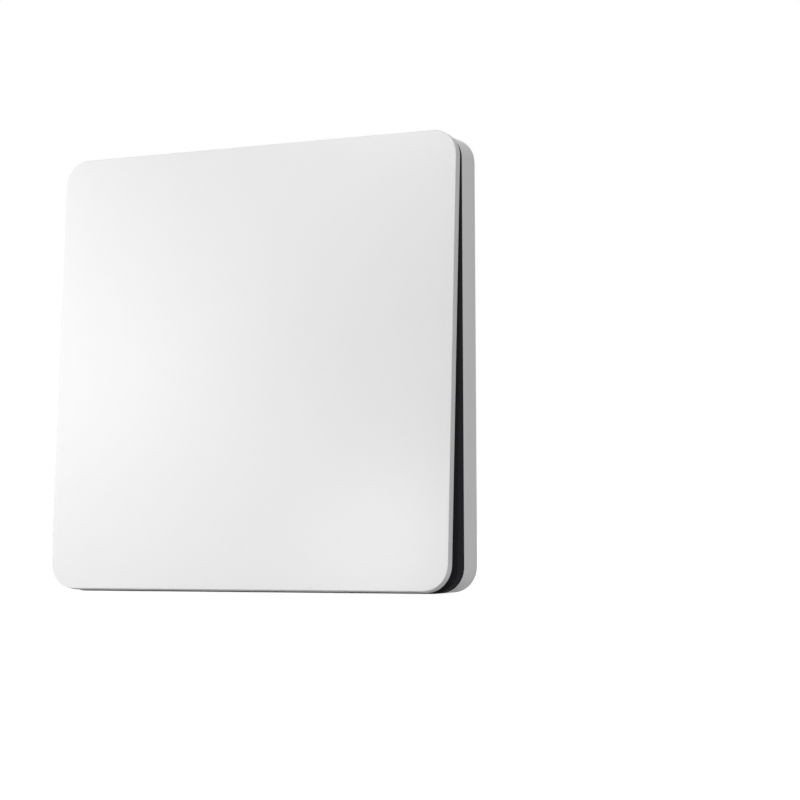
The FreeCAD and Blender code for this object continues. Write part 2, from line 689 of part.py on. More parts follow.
def make_rocker_panel():
    """The white cap: face, rim, stiffening ribs, two hinge clips, two limit hooks and the foot."""
    body = new_body("rocker_panel", HINGE, "rocker_tilt")
    outline = face_sketch(body, PANEL_REAR)
    rounded_rectangle(outline, f"-{HALF}", HALF, PANEL_LOW, "panel_over_hinge", "corner_radius")
    pad(body, outline, "panel_edge")
    soften(body, f"{PANEL_REAR} + panel_edge", "Fillet", "panel_front_radius")

    hollow = face_sketch(body, PANEL_REAR)
    cell = f"((panel_size - 2 * panel_rim - {RIB_CELLS - 1} * rib_width) / {RIB_CELLS})"
    left, low = f"(-{HALF} + panel_rim)", f"({PANEL_LOW} + panel_rim)"
    rectangle(hollow, left, f"{left} + {cell}", low, f"{low} + {cell}")
    hollow_cut = pocket(body, hollow, "panel_edge - panel_face", reverse=True)
    grid(body, hollow_cut, f"{cell} + rib_width", RIB_CELLS)

    for hand in (-1, 1):
        clip = side_sketch(body, f"{hand} * clip_spacing / 2")
        rectangle(clip, f"-{PANEL_BACK}", "clip_grip", f"-{CLIP_HALF}", CLIP_HALF)
        pad(body, clip, "clip_width", midplane=True)
    bore = side_sketch(body)
    circle(bore, "0", "0", CLIP_BORE)
    pocket(body, bore, "clip_spacing + 2 * clip_width", midplane=True)

    high = f"(hook_thickness / 2 - {HOOK_REACH})"
    low = f"(-hook_thickness / 2 - {HOOK_REACH})"
    tip = f"({HOOK_CATCH} - hook_barb_depth)"
    for hand in (-1, 1):
        hook = side_sketch(body, f"{hand} * hook_spacing / 2")
        polygon(hook, [(f"-{PANEL_BACK}", high), (f"-{tip}", high), (f"-{tip}", low),
                       (f"-({tip} + hook_barb_depth * 0.6)", f"{low} - hook_barb"),
                       (f"-{HOOK_CATCH}", f"{low} - hook_barb"), (f"-{HOOK_CATCH}", low),
                       (f"-{PANEL_BACK}", low)])
        pad(body, hook, "hook_width", midplane=True)

    foot = side_sketch(body)
    rectangle(foot, f"-{PANEL_BACK}", f"-{FOOT_CENTRE}", f"-{FOOT_REACH} - foot_radius",
              f"-{FOOT_REACH} + foot_radius")
    pad(body, foot, "foot_width", midplane=True)
    nose = side_sketch(body)
    circle(nose, f"-{FOOT_CENTRE}", f"-{FOOT_REACH}", "foot_radius")
    pad(body, nose, "foot_width", midplane=True)


def make_generator_tray():
    """The grey tray that carries the core, the coil and the lever's pins."""
    body = new_body("generator_tray", PIVOT)
    floor = face_sketch(body, FLOOR_UNDER_PIVOT)
    rectangle(floor, f"-{TRAY_HALF}", TRAY_HALF, "-tray_below", TRAY_HIGH)
    window = f"({FLANGE_HALF_WIDTH} + tray_clearance)"
    rectangle(floor, f"-{window}", window, "bobbin_start - tray_clearance", f"{YOKE_LOW} + bobbin_clearance")
    pad(body, floor, "tray_floor")

    walls = face_sketch(body, TRAY_TOP)
    tab_back = "(tray_boss_depth - pivot_depth)"
    for hand in (-1, 1):
        rectangle(walls, *span(hand, EAR_INNER, TRAY_HALF), "-tray_below", TRAY_HIGH)
    pad(body, walls, f"{tab_back} + tab_thickness - {TRAY_TOP}")
    tabs = face_sketch(body, tab_back)
    for hand in (-1, 1):
        rectangle(tabs, *span(hand, EAR_INNER, f"{TRAY_HALF} + tab_length"),
                  "tab_up - tab_width / 2", "tab_up + tab_width / 2")
    pad(body, tabs, "tab_thickness")
    seats = face_sketch(body, TRAY_TOP)
    rests = face_sketch(body, TRAY_TOP)
    for hand in (-1, 1):
        rectangle(seats, *span(hand, f"{YOKE_SCREW_SIDE} - small_head_radius", CORE_HALF),
                  f"{YOKE_LOW} + bobbin_clearance", YOKE_HIGH)
        rectangle(rests, *span(hand, f"{ARM_OUTER} + spring_room / 2", EAR_INNER),
                  "spring_leg - rest_length", "spring_leg")
    pad(body, seats, f"-core_thickness / 2 - {TRAY_TOP}")
    pad(body, rests, f"-spring_radius - spring_wire_radius - spring_contact - {TRAY_TOP}")

    for hand in (-1, 1):
        ear = side_sketch(body, f"{hand} * ({EAR_INNER} + {TRAY_HALF}) / 2")
        rectangle(ear, "0", f"-{TRAY_TOP}", "-ear_radius", "ear_radius")
        pad(body, ear, "tray_wall", midplane=True)
        crown = side_sketch(body, f"{hand} * ({EAR_INNER} + {TRAY_HALF}) / 2")
        circle(crown, "0", "0", "ear_radius")
        pad(body, crown, "tray_wall", midplane=True)
    bore = side_sketch(body)
    circle(bore, "0", "0", "pin_radius + pin_clearance")
    pocket(body, bore, f"4 * {TRAY_HALF}", midplane=True)

    holes = face_sketch(body, f"{tab_back} + tab_thickness")
    pilots = face_sketch(body, "-core_thickness / 2")
    for hand in (-1, 1):
        hole(holes, f"{hand} * {TAB_SIDE}", "tab_up", "small_screw_radius + hole_clearance")
        hole(pilots, f"{hand} * {YOKE_SCREW_SIDE}", f"({YOKE_LOW} + {YOKE_HIGH}) / 2",
             "small_screw_radius + pilot_clearance")
    pocket(body, holes)
    pocket(body, pilots, "small_screw_grip + pilot_spare")


def make_iron_core():
    """The flat E-shaped core: a yoke with a centre leg through the coil and two side legs."""
    body = new_body("iron_core", PIVOT)
    outline = face_sketch(body, "-core_thickness / 2")
    centre, slot = "(core_leg / 2)", "(core_leg / 2 + leg_space)"
    polygon(outline, [(f"-{CORE_HALF}", "-leg_reach"), (f"-{slot}", "-leg_reach"), (f"-{slot}", YOKE_LOW),
                      (f"-{centre}", YOKE_LOW), (f"-{centre}", "-leg_reach"), (centre, "-leg_reach"),
                      (centre, YOKE_LOW), (slot, YOKE_LOW), (slot, "-leg_reach"),
                      (CORE_HALF, "-leg_reach"), (CORE_HALF, YOKE_HIGH), (f"-{CORE_HALF}", YOKE_HIGH)])
    pad(body, outline, "core_thickness")
    holes = face_sketch(body, "core_thickness / 2")
    for hand in (-1, 1):
        hole(holes, f"{hand} * {YOKE_SCREW_SIDE}", f"({YOKE_LOW} + {YOKE_HIGH}) / 2",
             "small_screw_radius + hole_clearance")
    pocket(body, holes)


def make_coil_bobbin():
    """The spool round the core's centre leg."""
    body = new_body("coil_bobbin", PIVOT)
    tube = sketch_on(body, "XY_Plane", "bobbin_start")
    rectangle(tube, f"-{TUBE_HALF_WIDTH}", TUBE_HALF_WIDTH, f"-{TUBE_HALF_DEPTH}", TUBE_HALF_DEPTH)
    pad(body, tube, "bobbin_length")
    for start in ("bobbin_start", f"{BOBBIN_END} - flange_thickness"):
        flange = sketch_on(body, "XY_Plane", start)
        rectangle(flange, f"-{FLANGE_HALF_WIDTH}", FLANGE_HALF_WIDTH,
                  f"-{FLANGE_HALF_DEPTH}", FLANGE_HALF_DEPTH)
        pad(body, flange, "flange_thickness")
    hole = sketch_on(body, "XY_Plane", BOBBIN_END)
    side, deep = "(core_leg / 2 + bobbin_clearance)", "(core_thickness / 2 + bobbin_clearance)"
    rectangle(hole, f"-{side}", side, f"-{deep}", deep)
    pocket(body, hole)


def make_coil_winding():
    """The copper winding between the spool's flanges."""
    body = new_body("coil_winding", PIVOT)
    ring = sketch_on(body, "XY_Plane", "bobbin_start + flange_thickness")
    side, deep = f"({TUBE_HALF_WIDTH} + winding_build)", f"({TUBE_HALF_DEPTH} + winding_build)"
    rounded_rectangle(ring, f"-{side}", side, f"-{deep}", deep, "winding_build")
    rectangle(ring, f"-{TUBE_HALF_WIDTH}", TUBE_HALF_WIDTH, f"-{TUBE_HALF_DEPTH}", TUBE_HALF_DEPTH)
    pad(body, ring, "bobbin_length - 2 * flange_thickness")


def make_magnet_carrier():
    """The moving yoke of the generator: two arms on the pins, joined below the magnet."""
    body = new_body("magnet_carrier", PIVOT, f"{LEVER_TRAVEL} / 2")
    outline = face_sketch(body, "-arm_depth / 2")
    polygon(outline, [(f"-{ARM_OUTER}", BAR_LOW), (ARM_OUTER, BAR_LOW), (ARM_OUTER, "0"), (ARM_INNER, "0"),
                      (ARM_INNER, BAR_HIGH), (f"-{ARM_INNER}", BAR_HIGH), (f"-{ARM_INNER}", "0"),
                      (f"-{ARM_OUTER}", "0")])
    pad(body, outline, "arm_depth")
    for hand in (-1, 1):
        boss = side_sketch(body, f"{hand} * ({ARM_INNER} + {ARM_OUTER}) / 2")
        circle(boss, "0", "0", "arm_boss_radius")
        pad(body, boss, "arm_thickness", midplane=True)
    ledges = face_sketch(body, "bar_gap / 4 - pole_gap / 2")
    pegs = face_sketch(body, "spring_contact + spring_wire_radius - spring_radius")
    for hand in (-1, 1):
        rectangle(ledges, *span(hand, "magnet_width / 2 + bar_gap / 2", f"({ARM_INNER} + {ARM_OUTER}) / 2"),
                  BAR_HIGH, f"{MAGNET_HIGH} - bar_gap")
        rectangle(pegs, *span(hand, f"({ARM_INNER} + {ARM_OUTER}) / 2", f"{ARM_OUTER} + spring_room * 0.4"),
                  "-spring_leg", "peg_size - spring_leg")
    pad(body, ledges, "pole_gap - bar_gap / 2")
    pad(body, pegs, "peg_size")
    bore = side_sketch(body)
    circle(bore, "0", "0", "pin_radius + pin_clearance")
    pocket(body, bore, f"4 * {ARM_OUTER}", midplane=True)
    rivets = face_sketch(body, "arm_depth / 2")
    for hand in (-1, 1):
        hole(rivets, f"{hand} * rivet_spacing / 2", RIVET_UP, "rivet_radius + pin_clearance")
    pocket(body, rivets)


def make_magnet_and_poles():
    """The magnet between its two pole plates, on the carrier."""
    turn = f"{LEVER_TRAVEL} / 2"
    side = "(magnet_width / 2)"
    slab("magnet", PIVOT, turn, (f"-{side}", side), (MAGNET_LOW, MAGNET_HIGH),
         ("-pole_gap / 2", "pole_gap / 2"))
    edge = f"({ARM_INNER} - pole_side_gap)"
    slab("front_pole_plate", PIVOT, turn, (f"-{edge}", edge), (MAGNET_LOW, POLE_HIGH),
         ("pole_gap / 2", "pole_gap / 2 + pole_thickness"))
    slab("rear_pole_plate", PIVOT, turn, (f"-{edge}", edge), (MAGNET_LOW, POLE_HIGH),
         ("-pole_gap / 2 - pole_thickness", "-pole_gap / 2"))


def make_lever_leaf():
    """The bent steel strip that the panel's foot presses."""
    body = new_body("lever_leaf", PIVOT, f"{LEVER_TRAVEL} / 2")
    side = side_sketch(body)
    bend, front = f"({LEAF_LOW} + leaf_tip)", f"-{LEAF_BACK} - leaf_thickness"
    polygon(side, [(f"-{LEAF_BACK}", BAR_HIGH), (f"-{LEAF_BACK}", BAR_LOW),
                   (f"-{LEAF_BACK} - leaf_rise", bend), (f"-{LEAF_BACK} - leaf_rise", LEAF_LOW),
                   (f"-{TIP_FRONT}", LEAF_LOW), (f"-{TIP_FRONT}", bend),
                   (front, BAR_LOW), (front, BAR_HIGH)])
    pad(body, side, "leaf_width", midplane=True)
    holes = face_sketch(body, TIP_FRONT)
    for hand in (-1, 1):
        hole(holes, f"{hand} * rivet_spacing / 2", RIVET_UP, "rivet_radius + pin_clearance")
    pocket(body, holes)


def make_radio_board():
    """The circuit board on its posts, with its chip, crystal, rectifier and capacitors."""
    body = new_body("circuit_board")
    outline = face_sketch(body, BOARD_BACK)
    block(outline, "0", f"({BOARD_LOW} + board_height / 2)", "board_width", "board_height")
    pad(body, outline, "board_thickness")
    holes = face_sketch(body, BOARD_FRONT)
    for index, (across, up) in enumerate(board_corners()):
        radius = "peg_radius + pilot_clearance" if index % 3 else "small_screw_radius + hole_clearance"
        hole(holes, across, up, radius)
    pocket(body, holes)


def make_package(label, kind, across, up, legs):
    """A packaged component: a block on the board with rows of legs at its two sides."""
    body = new_body(label)
    half_width = f"{kind}_width / 2"
    case = face_sketch(body, f"{BOARD_FRONT} + package_lift")
    block(case, across, up, f"{kind}_width", f"{kind}_height")
    pad(body, case, "package_tall - package_lift")
    feet = face_sketch(body, BOARD_FRONT)
    for leg in range(legs):
        middle = f"{up} + {leg - (legs - 1) / 2} * {kind}_height / {legs}"
        for hand in (-1, 1):
            root = f"{across} + {hand} * ({half_width} - package_leg / 2)"
            end = f"{across} + {hand} * ({half_width} + package_leg)"
            left, right = (root, end) if hand > 0 else (end, root)
            rectangle(feet, left, right, f"{middle} - package_leg_width / 2",
                      f"{middle} + package_leg_width / 2")
    pad(body, feet, "2 * package_lift")


def make_components():
    """The components on the front of the board."""
    middle = f"({BOARD_LOW} + board_height / 2)"
    lower = f"({BOARD_LOW} + board_height / 4)"
    upper = f"({BOARD_LOW} + board_height * 0.62)"
    make_package("radio_chip", "chip", "-board_width * 0.1", middle, 4)
    make_package("rectifier", "rectifier", "board_width * 0.22", lower, 2)
    for label, kind, across, up in (
            ("crystal", "crystal", "board_width * 0.08", upper),
            ("storage_capacitor_left", "capacitor", "-board_width * 0.24", lower),
            ("storage_capacitor_right", "capacitor", "board_width * 0.34", upper)):
        slab(label, None, None, (f"{across} - {kind}_width / 2", f"{across} + {kind}_width / 2"),
             (f"{up} - {kind}_height / 2", f"{up} + {kind}_height / 2"),
             (BOARD_FRONT, f"{BOARD_FRONT} + {kind}_tall"))


def add_shape(label, shape, place=None):
    """Adds a finished shape as a sub-part."""
    feature = doc.addObject("Part::Feature", label)
    feature.Label = label
    feature.Shape = shape
    if place:
        feature.Placement = place
    BODIES.append(feature)
    return feature


def spot(across, up, depth):
    """Returns the point at a place given as three expressions."""
    return Vector(number(across), -number(depth), number(up))


ROOMWARD = Vector(0, -1, 0)
WALLWARD = Vector(0, 1, 0)


def section(centre, along, radius, sides):
    """A regular outline across a direction, with its corners at a radius."""
    turn = Rotation(Vector(0, 0, 1), along)
    corners = []
    for index in range(sides + 1):
        angle = 2 * math.pi * (index + 0.5) / sides
        corners.append(centre + turn.multVec(Vector(math.cos(angle), math.sin(angle), 0)) * radius)
    return Part.makePolygon(corners)


def prism(start, along, length, radius, sides):
    """A straight bar of regular section."""
    return Part.Face(section(start, along, radius, sides)).extrude(along * length)


def screw(seat, radius, length, head_radius, head_height):
    """A screw whose head rests on the seat and whose shank runs towards the wall."""
    head = prism(seat, ROOMWARD, head_height, head_radius, HEAD_SIDES)
    shank = prism(seat, WALLWARD, length, radius, SHANK_SIDES)
    return head.fuse(shank).removeSplitter()


def make_screws():
    """The four groups of screws and the two rivets of the lever leaf."""
    frame = []
    for hand in (-1, 1):
        for up in (SCREW_HIGH, SCREW_LOW):
            seat = spot(f"{hand} * {SCREW_SIDE}", up, f"{BOSS_DEPTH} + frame_screw_floor")
            frame.append(screw(seat, number("screw_radius"), number("frame_screw_floor + screw_grip"),
                               number("screw_head_radius"), number("screw_head_height")))
    add_shape("frame_screws", Part.makeCompound(frame))

    small = [number(name) for name in ("small_screw_radius", "small_screw_grip", "small_head_radius",
                                       "small_head_height")]
    radius, grip, head_radius, head_height = small
    tray, core, board = [], [], []
    for hand in (-1, 1):
        seat = spot(f"{hand} * {TAB_SIDE}", "tab_up - pivot_down", "tray_boss_depth + tab_thickness")
        tray.append(screw(seat, radius, grip + number("tab_thickness"), head_radius, head_height))
        seat = spot(f"{hand} * {YOKE_SCREW_SIDE}", f"({YOKE_LOW} + {YOKE_HIGH}) / 2 - pivot_down",
                    "pivot_depth + core_thickness / 2")
        core.append(screw(seat, radius, grip + number("core_thickness"), head_radius, head_height))
    for across, up in board_corners()[::3]:
        seat = spot(across, up, BOARD_FRONT)
        board.append(screw(seat, radius, grip + number("board_thickness"), head_radius, head_height))
    add_shape("tray_screws", Part.makeCompound(tray))
    add_shape("core_screws", Part.makeCompound(core))
    add_shape("board_screws", Part.makeCompound(board))

    rivets = []
    for hand in (-1, 1):
        seat = spot(f"{hand} * rivet_spacing / 2", RIVET_UP, f"{LEAF_BACK} + leaf_thickness")
        rivets.append(screw(seat, number("rivet_radius"), number("leaf_thickness + arm_depth"),
                            number("rivet_head_radius"), number("rivet_head_height")))
    add_shape("leaf_rivets", Part.makeCompound(rivets), lever_place())


def lever_place():
    """Returns the resting place of the generator's lever."""
    return Placement(spot("0", "-pivot_down", "pivot_depth"),
                     Rotation(Vector(-1, 0, 0), number(f"{LEVER_TRAVEL} / 2")))


def make_pins():
    """The two steel pins that carry the lever's arms."""
    for label, hand in (("pivot_pin_left", -1), ("pivot_pin_right", 1)):
        pin = doc.addObject("Part::Cylinder", label)
        pin.Label = label
        pin.Placement = Placement(Vector(), Rotation(Vector(0, hand, 0), 90))
        pin.setExpression("Radius", cells("pin_radius"))
        pin.setExpression("Height", cells(f"{TRAY_HALF} - {CORE_HALF} - arm_gap / 2"))
        pin.setExpression("Placement.Base.x", cells(f"{hand} * ({CORE_HALF} + arm_gap / 2)"))
        pin.setExpression("Placement.Base.y", cells("-pivot_depth"))
        pin.setExpression("Placement.Base.z", cells("-pivot_down"))
        BODIES.append(pin)


def make_return_springs():
    """The two torsion springs round the pins: one leg under the arm's peg, one on the tray."""
    radius, wire, pitch = (number(name) for name in ("spring_radius", "spring_wire_radius", "spring_pitch"))
    turns, leg = number("spring_turns"), number("spring_leg")
    corner = wire * math.sqrt(2)
    lean = number(f"{LEVER_TRAVEL} / 2")
    height = pitch * (turns + lean / 360)
    start = Vector(radius, 0, 0)
    run = Vector(0, 2 * math.pi * radius, pitch).normalize()
    coil = Part.makeHelix(pitch, height, radius).makePipeShell(
        [section(start, run, corner, SPRING_SIDES)], True, True)
    wound = coil.fuse(prism(start, -run, leg, corner, SPRING_SIDES))
    wound.rotate(Vector(), Vector(0, 0, 1), -lean)
    tray_leg = prism(start + Vector(0, 0, height), run, leg, corner, SPRING_SIDES)
    spring = wound.fuse(tray_leg).removeSplitter()
    inset = number(f"{ARM_OUTER} + (spring_room - spring_turns * spring_pitch) / 2")
    spring.Placement = Placement(spot("0", "-pivot_down", "pivot_depth") + Vector(inset, 0, 0),
                                 Rotation(Vector(1, 1, 1), 120))
    right = spring.copy()
    left = spring.mirror(Vector(), Vector(1, 0, 0))
    add_shape("return_spring_left", left)
    add_shape("return_spring_right", right)


def make_bumpers():
    """The two rubber pads that end the panel's travel quietly."""
    body = new_body("bumper_pads")
    body.AllowCompound = True
    pads = face_sketch(body, f"{frame_front(BUMPER_UP)} + bumper_rise - bumper_height")
    for hand in (-1, 1):
        block(pads, f"{hand} * {BUMPER_SIDE}", BUMPER_UP, "bumper_width", "bumper_width")
    pad(body, pads, "bumper_height")


def pipe(corners, bend, radius):
    """A wire along a line of points, with its corners bent to a radius."""
    edges = []
    start = corners[0]
    for before, corner, after in zip(corners, corners[1:], corners[2:]):
        inward, outward = (corner - before).normalize(), (after - corner).normalize()
        bend_start, bend_end = corner - inward * bend, corner + outward * bend
        middle = corner + (outward - inward).normalize() * bend * (math.sqrt(2) - 1)
        edges.append(Part.makeLine(start, bend_start))
        edges.append(Part.Arc(bend_start, middle, bend_end).toShape())
        start = bend_end
    edges.append(Part.makeLine(start, corners[-1]))
    profile = section(corners[0], (corners[1] - corners[0]).normalize(), radius, WIRE_SIDES)
    return Part.Wire(edges).makePipeShell([profile], True, False)


def make_wires():
    """The aerial along the base's walls and the coil's two leads to the board."""
    route = [spot("-aerial_start", AERIAL_UP, AERIAL_DEPTH), spot(f"-{AERIAL_OFF}", AERIAL_UP, AERIAL_DEPTH),
             spot(f"-{AERIAL_OFF}", f"-{AERIAL_OFF}", AERIAL_DEPTH),
             spot("aerial_end", f"-{AERIAL_OFF}", AERIAL_DEPTH)]
    add_shape("aerial_wire", pipe(route, number("aerial_bend"), number("aerial_radius")))
    leads = []
    lead_depth = "pivot_depth + core_thickness / 2 + lead_rise"
    lead_end = f"{BOARD_LOW} + 2 * lead_bend"
    for hand in (-1, 1):
        side = f"{hand} * lead_spacing / 2"
        route = [spot(side, f"{BOBBIN_END} - pivot_down", lead_depth), spot(side, lead_end, lead_depth),
                 spot(side, lead_end, BOARD_FRONT)]
        leads.append(pipe(route, number("lead_bend"), number("lead_radius")))
    add_shape("coil_leads", Part.makeCompound(leads))


make_rear_base()
make_inner_frame()
make_rocker_panel()
make_generator_tray()
make_iron_core()
make_coil_bobbin()
make_coil_winding()
make_magnet_carrier()
make_magnet_and_poles()
make_lever_leaf()
make_radio_board()
make_components()
make_screws()
make_pins()
make_return_springs()
make_bumpers()
make_wires()
doc.recompute()

faults = [item.Label for item in doc.Objects if "Invalid" in item.State or "Error" in item.State]
faults += [body.Label for body in BODIES if body.Shape.isNull() or not body.Shape.isValid()]
if faults:
    raise RuntimeError("failed: " + ", ".join(faults))
os.makedirs("parts", exist_ok=True)
for body in BODIES:
    body.Shape.exportStep(f"parts/{body.Label}.step")
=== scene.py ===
import json
import math

import bmesh
import bpy
from mathutils import Matrix, Vector


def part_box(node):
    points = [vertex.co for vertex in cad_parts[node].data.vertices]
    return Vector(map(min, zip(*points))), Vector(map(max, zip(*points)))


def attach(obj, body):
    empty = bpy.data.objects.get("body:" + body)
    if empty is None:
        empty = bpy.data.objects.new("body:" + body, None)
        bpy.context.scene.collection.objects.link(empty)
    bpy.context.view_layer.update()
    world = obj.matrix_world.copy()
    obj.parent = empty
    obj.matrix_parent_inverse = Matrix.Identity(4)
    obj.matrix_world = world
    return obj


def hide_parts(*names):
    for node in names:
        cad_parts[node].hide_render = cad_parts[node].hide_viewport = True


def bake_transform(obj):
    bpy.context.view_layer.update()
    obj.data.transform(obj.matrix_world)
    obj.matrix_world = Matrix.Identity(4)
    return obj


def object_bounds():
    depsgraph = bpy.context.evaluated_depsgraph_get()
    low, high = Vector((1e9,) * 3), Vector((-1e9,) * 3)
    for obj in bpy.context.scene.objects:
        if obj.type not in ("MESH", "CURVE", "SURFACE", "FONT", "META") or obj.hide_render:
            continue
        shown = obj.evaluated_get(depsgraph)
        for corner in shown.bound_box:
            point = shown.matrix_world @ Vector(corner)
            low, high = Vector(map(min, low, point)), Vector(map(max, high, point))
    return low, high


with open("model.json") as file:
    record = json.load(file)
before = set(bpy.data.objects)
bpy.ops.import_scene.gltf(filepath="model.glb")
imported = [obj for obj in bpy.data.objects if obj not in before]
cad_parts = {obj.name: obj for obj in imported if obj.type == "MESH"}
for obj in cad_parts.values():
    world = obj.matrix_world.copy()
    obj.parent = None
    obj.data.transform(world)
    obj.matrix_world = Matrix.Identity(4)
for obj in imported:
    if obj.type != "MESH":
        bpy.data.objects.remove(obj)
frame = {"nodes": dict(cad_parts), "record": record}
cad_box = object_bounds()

# Wireless wall switch: finishes, a drafted panel, screws, springs and wires, and a plain studio.
# X runs to the right, Y into the wall, Z up. Lengths are in metres unless a name says mm.

MM = 0.001
NODES = frame["nodes"]
JOINTS = {joint["name"]: joint for joint in frame["record"]["behaviour"]["joints"]}
MERGE = 0.001 * MM
SMOOTH_ANGLE = math.radians(35)

# Camera, as fitted to the photograph's edges
CAMERA_PLACE = Vector((201.4, -372.6, -30.9)) * MM
CAMERA_YAW = 25.08
CAMERA_PITCH = 3.41
CAMERA_ROLL = 0.24
SENSOR_MM = 36.0
LENS_MM = 96.9
CLIP_MM = 10.0

# Studio: the floor, the world's light on the object, and the white that the floor adds for the camera
FLOOR_SIZE = 6.0
FLOOR_GAP = 0.1 * MM
FLOOR_CLOUD_MM = 400.0
WORLD_LIGHT = 0.28
FLOOR_LIFT = 0.88

# Surface patterns: feature size and depth in mm, strength of the relief, spread of the roughness
CLOUD_MM = 18.0
PLASTIC_DEPTH_MM, PLASTIC_SPREAD = 0.02, 0.05
METAL_DEPTH_MM, METAL_SPREAD, METAL_RELIEF = 0.01, 0.08, 0.15


def linear(hex_colour):
    """Turns an sRGB hex value into a linear colour."""
    channels = [int(hex_colour[start:start + 2], 16) / 255 for start in (1, 3, 5)]
    return [c / 12.92 if c <= 0.04045 else ((c + 0.055) / 1.055) ** 2.4 for c in channels] + [1.0]


def per_mm(size_mm):
    """Returns the pattern scale whose features are this size."""
    return 1.0 / (size_mm * MM)


def add_node(tree, kind, settings=(), links=()):
    """Adds a node, sets its properties and sockets, and links its inputs."""
    node = tree.nodes.new(kind)
    for name, value in dict(settings).items():
        if isinstance(name, str) and hasattr(node, name):
            setattr(node, name, value)
        else:
            node.inputs[name].default_value = value
    for name, source in dict(links).items():
        tree.links.new(source, node.inputs[name])
    return node


def start_material(name, settings):
    """Returns a new material, its tree, its shader with these settings, and object coordinates."""
    material = bpy.data.materials.new(name)
    material.use_nodes = True
    tree = material.node_tree
    shader = tree.nodes["Principled BSDF"]
    for socket, value in settings.items():
        shader.inputs[socket].default_value = value
    place = add_node(tree, "ShaderNodeTexCoord").outputs["Object"]
    return material, tree, shader, place


def noise(tree, place, size_mm, detail):
    """Adds a noise whose features are this size and returns its factor."""
    return add_node(tree, "ShaderNodeTexNoise", {"Scale": per_mm(size_mm), "Detail": detail},
                    {"Vector": place}).outputs["Fac"]


def colour_drift(tree, shader, factor, first, second):
    """Lets the base colour drift between two hex values by a factor."""
    mix = add_node(tree, "ShaderNodeMix", {"data_type": "RGBA"}, {0: factor})
    mix.inputs["A"].default_value = linear(first)
    mix.inputs["B"].default_value = linear(second)
    tree.links.new(mix.outputs["Result"], shader.inputs["Base Color"])


def roughness_drift(tree, shader, factor, low, high):
    """Lets the roughness drift between two values by a factor."""
    spread = add_node(tree, "ShaderNodeMapRange", {"To Min": low, "To Max": high}, {"Value": factor})
    tree.links.new(spread.outputs["Result"], shader.inputs["Roughness"])


def relief(tree, shader, height, strength, distance_mm):
    """Raises a pattern as bump of a real depth."""
    bump = add_node(tree, "ShaderNodeBump", {"Strength": strength, "Distance": distance_mm * MM},
                    {"Height": height})
    tree.links.new(bump.outputs["Normal"], shader.inputs["Normal"])


def moulded_plastic(name, first, second, rough, grain_mm, strength, ior=1.53, gloss=0.5):
    """A moulded plastic: nearly even colour, a fine sparked grain and a slightly uneven gloss."""
    material, tree, shader, place = start_material(name, {"IOR": ior, "Specular IOR Level": gloss})
    grain = noise(tree, place, grain_mm, 3.0)
    colour_drift(tree, shader, noise(tree, place, CLOUD_MM, 2.0), first, second)
    roughness_drift(tree, shader, grain, rough - PLASTIC_SPREAD, rough + PLASTIC_SPREAD)
    relief(tree, shader, grain, strength, PLASTIC_DEPTH_MM)
    return material


def metal(name, first, second, rough, grain_mm, stretch):
    """A bare or plated metal: grain drawn out along one axis, with a little drift of tone."""
    material, tree, shader, place = start_material(name, {"Metallic": 1.0})
    drawn = add_node(tree, "ShaderNodeMapping", {"Scale": stretch}, {"Vector": place})
    grain = noise(tree, drawn.outputs["Vector"], grain_mm, 4.0)
    colour_drift(tree, shader, grain, first, second)
    roughness_drift(tree, shader, grain, rough - METAL_SPREAD, rough + METAL_SPREAD)
    relief(tree, shader, grain, METAL_RELIEF, METAL_DEPTH_MM)
    return material


# Injection-moulded ABS, satin white: an even, faintly soft sheen with no visible grain
panel_abs = moulded_plastic("satin_white_abs", "#E8E8E8", "#E6E6E6", 0.42, 0.25, 0.04, gloss=0.25)
# The same ABS from a duller mould: a little whiter and rougher
base_abs = moulded_plastic("matt_white_abs", "#F3F3F3", "#F1F1F1", 0.5, 0.25, 0.08)
# Black ABS with a deep sparked mould finish: dull, with hardly any sheen
frame_abs = moulded_plastic("sparked_black_abs", "#27272A", "#2B2B2E", 0.7, 0.2, 0.12, gloss=0.02)
# Grey glass-filled nylon: dull, with a mottled skin
tray_nylon = moulded_plastic("grey_filled_nylon", "#8C9094", "#7E8286", 0.55, 0.3, 0.2)
# Natural acetal: creamy and slightly waxy
carrier_acetal = moulded_plastic("natural_acetal", "#DDD8CC", "#D6D0C2", 0.35, 0.4, 0.05, 1.48)
# Black polyester spool plastic: smooth, with a plain gloss
bobbin_polyester = moulded_plastic("black_polyester", "#1E1E20", "#252527", 0.35, 0.3, 0.08)
# Natural rubber: matt and slightly dusty
bumper_rubber = moulded_plastic("black_rubber", "#2A2A2A", "#333333", 0.8, 0.15, 0.3)
# Soft vinyl insulation: dark with a weak gloss
aerial_vinyl = moulded_plastic("dark_vinyl", "#353538", "#2C2C2F", 0.5, 0.4, 0.05)
# Epoxy moulding compound of a chip: dull black with fine filler
chip_epoxy = moulded_plastic("chip_epoxy", "#1C1C1D", "#242425", 0.6, 0.08, 0.25)
# Solder-masked glass epoxy board: dark green gloss over a faint weave
board_mask = moulded_plastic("green_solder_mask", "#17512B", "#1C5C32", 0.3, 0.3, 0.1)
# Ceramic capacitor body: tan and dull
capacitor_ceramic = moulded_plastic("tan_ceramic", "#B08A58", "#A67F4E", 0.5, 0.1, 0.15)

# Enamelled copper wire: warm metal under a clear film
winding_copper = metal("enamelled_copper", "#C8794A", "#B4653A", 0.3, 0.2, (1.0, 1.0, 8.0))
# Stamped electrical steel: dull grey with faint rolling lines
core_steel = metal("stamped_core_steel", "#A9AAAC", "#97989B", 0.45, 0.3, (1.0, 1.0, 0.1))
# Bright nickel plate: smooth and slightly warm
magnet_nickel = metal("nickel_plate", "#D9D6CF", "#CFCBC2", 0.2, 0.5, (1.0, 1.0, 1.0))
